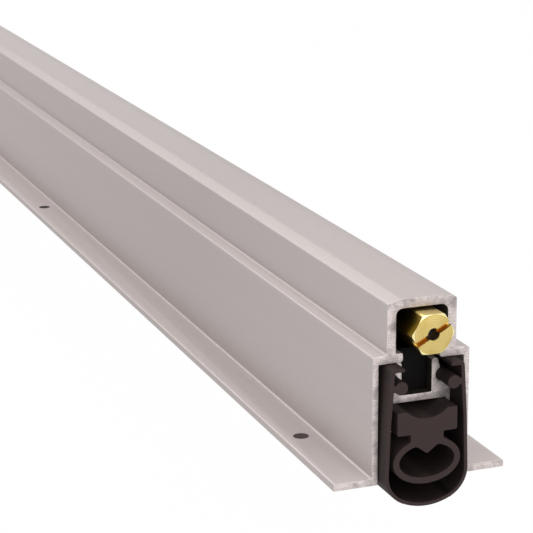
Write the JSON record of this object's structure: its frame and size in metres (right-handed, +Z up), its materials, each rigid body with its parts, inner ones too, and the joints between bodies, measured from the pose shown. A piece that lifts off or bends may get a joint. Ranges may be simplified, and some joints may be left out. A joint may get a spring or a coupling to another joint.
{
  "type": "automatic door bottom seal",
  "caption": "Flanged housing strip with a brass plunger at one end that lowers a rubber-edged drop bar to the floor as the door closes.",
  "frame": {"origin": "middle of the screw holes in the flanges, on the flanges' underside", "axes": "+X along the seal towards the plunger, +Y across it, +Z up into the door"},
  "size_m": [0.9216, 0.0368, 0.0418],
  "materials": {
    "mill_aluminium": "mill-finish extruded aluminium with fine draw lines, satin",
    "black_rubber": "extruded black rubber, matt with a faint bloom",
    "turned_brass": "bright turned brass with facing rings on the end",
    "black_nylon": "moulded black nylon, matt",
    "zinc_steel": "zinc-plated steel",
    "spring_steel": "drawn spring steel, bright",
    "black_steel": "black oxide steel"
  },
  "bodies": {
    "housing_body": {"housing": "mill_aluminium", "front_guide": "black_nylon", "spring_block": "black_nylon", "rod_guide_1": "black_nylon", "rod_guide_2": "black_nylon", "post_guide": "black_nylon", "post_guide_screw": "black_steel", "return_spring": "spring_steel"},
    "seal_bar": {"drop_bar": "mill_aluminium", "outer_boot": "black_rubber", "bulb_insert": "black_rubber", "guide_posts": "spring_steel", "bracket_rivets": "zinc_steel", "clevis_1": "zinc_steel", "clevis_2": "zinc_steel", "clevis_3": "zinc_steel", "clevis_pin_1": "spring_steel", "clevis_pin_2": "spring_steel", "clevis_pin_3": "spring_steel"},
    "drive_line": {"push_rod": "zinc_steel", "rod_rivets": "zinc_steel", "spring_collar": "zinc_steel", "collar_screw": "black_steel", "cam_plate_1": "zinc_steel", "cam_plate_2": "zinc_steel", "cam_plate_3": "zinc_steel", "connecting_rod_1": "zinc_steel", "connecting_rod_2": "zinc_steel"},
    "adjuster_ring": {"friction_ring": "black_nylon"},
    "adjuster": {"hex_adjuster": "turned_brass"}
  },
  "joints": [
    {"name": "bar_drop", "type": "slide", "parent": "housing_body", "child": "seal_bar", "axis": [0, 0, -1], "range_m": [0, 0.011]},
    {"name": "plunger_slide", "type": "slide", "parent": "housing_body", "child": "drive_line", "axis": [-1, 0, 0], "range_m": [0, 0.0055], "stiffness_N_per_m": 1700, "springref_m": -0.012, "deforming": ["return_spring"]},
    {"name": "adjuster_advance", "type": "slide", "parent": "drive_line", "child": "adjuster_ring", "axis": [1, 0, 0], "range_m": [0, 0.0024]},
    {"name": "adjuster_turn", "type": "hinge", "parent": "adjuster_ring", "child": "adjuster", "pos_m": [0.45, 0.0006, 0.031], "axis": [1, 0, 0], "range_deg": [0, 1080]}
  ],
  "couplings": [
    {"joint": "plunger_slide", "follows": "bar_drop", "ratio": 0.5},
    {"joint": "adjuster_advance", "follows": "adjuster_turn", "m_per_rad": 0.00012732}
  ]
}
